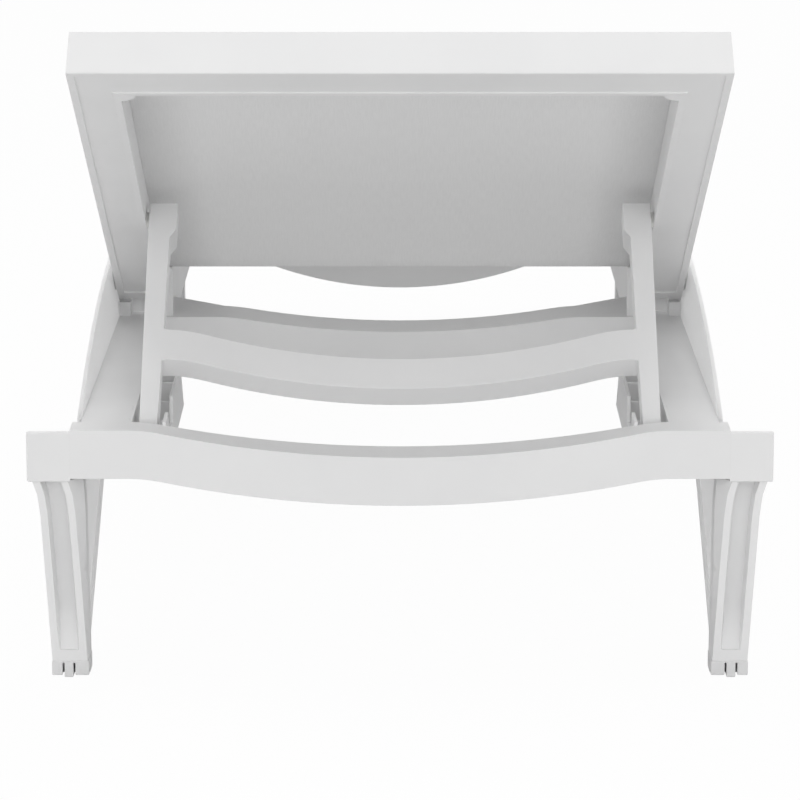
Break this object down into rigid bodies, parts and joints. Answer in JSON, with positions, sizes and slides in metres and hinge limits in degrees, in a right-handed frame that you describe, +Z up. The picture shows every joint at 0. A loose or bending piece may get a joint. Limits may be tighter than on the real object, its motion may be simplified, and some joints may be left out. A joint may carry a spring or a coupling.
{
  "type": "sun lounger",
  "caption": "Resin sun lounger with a woven sling, a reclining back and a swinging prop whose feet ride in racks beside the base rails.",
  "frame": {"origin": "middle of the footprint, on the floor", "axes": "+Z up, +Y from the head end to the foot end, +X across, to the right as seen from the head end"},
  "size_m": [0.7014, 1.851, 0.6206],
  "materials": {
    "resin": "white moulded resin, satin",
    "sling": "white woven synthetic mesh",
    "steel": "plain stainless steel",
    "nylon": "natural nylon",
    "keder": "flexible white rod",
    "pad": "white soft plastic"
  },
  "bodies": {
    "base": {"end_bar_screws": "steel", "end_block_foot_left": "resin", "end_block_foot_right": "resin", "end_block_head_left": "resin", "end_block_head_right": "resin", "foot_crossbar": "resin", "foot_pad_foot_left": "pad", "foot_pad_foot_right": "pad", "foot_pad_head_left": "pad", "foot_pad_head_right": "pad", "head_crossbar": "resin", "hinge_crossbar": "resin", "hinge_pin_left": "steel", "hinge_pin_right": "steel", "leg_foot_left": "resin", "leg_foot_right": "resin", "leg_head_left": "resin", "leg_head_right": "resin", "middle_bar_screws": "steel", "panel_screws": "steel", "prop_rack_left": "resin", "prop_rack_right": "resin", "seat_crossbar": "resin", "seat_rod_foot": "keder", "seat_rod_left": "keder", "seat_rod_right": "keder", "seat_sling": "sling", "side_panel_left": "resin", "side_panel_right": "resin", "side_rail_left": "resin", "side_rail_right": "resin"},
    "back": {"back_frame": "resin", "back_rod_head": "keder", "back_rod_left": "keder", "back_rod_right": "keder", "back_sling": "sling", "hinge_bush_left": "nylon", "hinge_bush_right": "nylon", "prop_pin_left": "steel", "prop_pin_right": "steel", "prop_washer_left": "nylon", "prop_washer_right": "nylon"},
    "prop": {"prop_frame": "resin"}
  },
  "joints": [
    {"name": "back_recline", "type": "hinge", "parent": "base", "child": "back", "pos_m": [0, -0.2915, 0.283], "axis": [-1, 0, 0], "range_deg": [-27.1, 47.9]},
    {"name": "prop_swing", "type": "hinge", "parent": "back", "child": "prop", "pos_m": [0, -0.5191, 0.38374], "axis": [1, 0, 0], "range_deg": [-46.62, 82.4]}
  ],
  "couplings": [
    {"joint": "prop_swing", "follows": "back_recline", "ratio": 1.72}
  ]
}
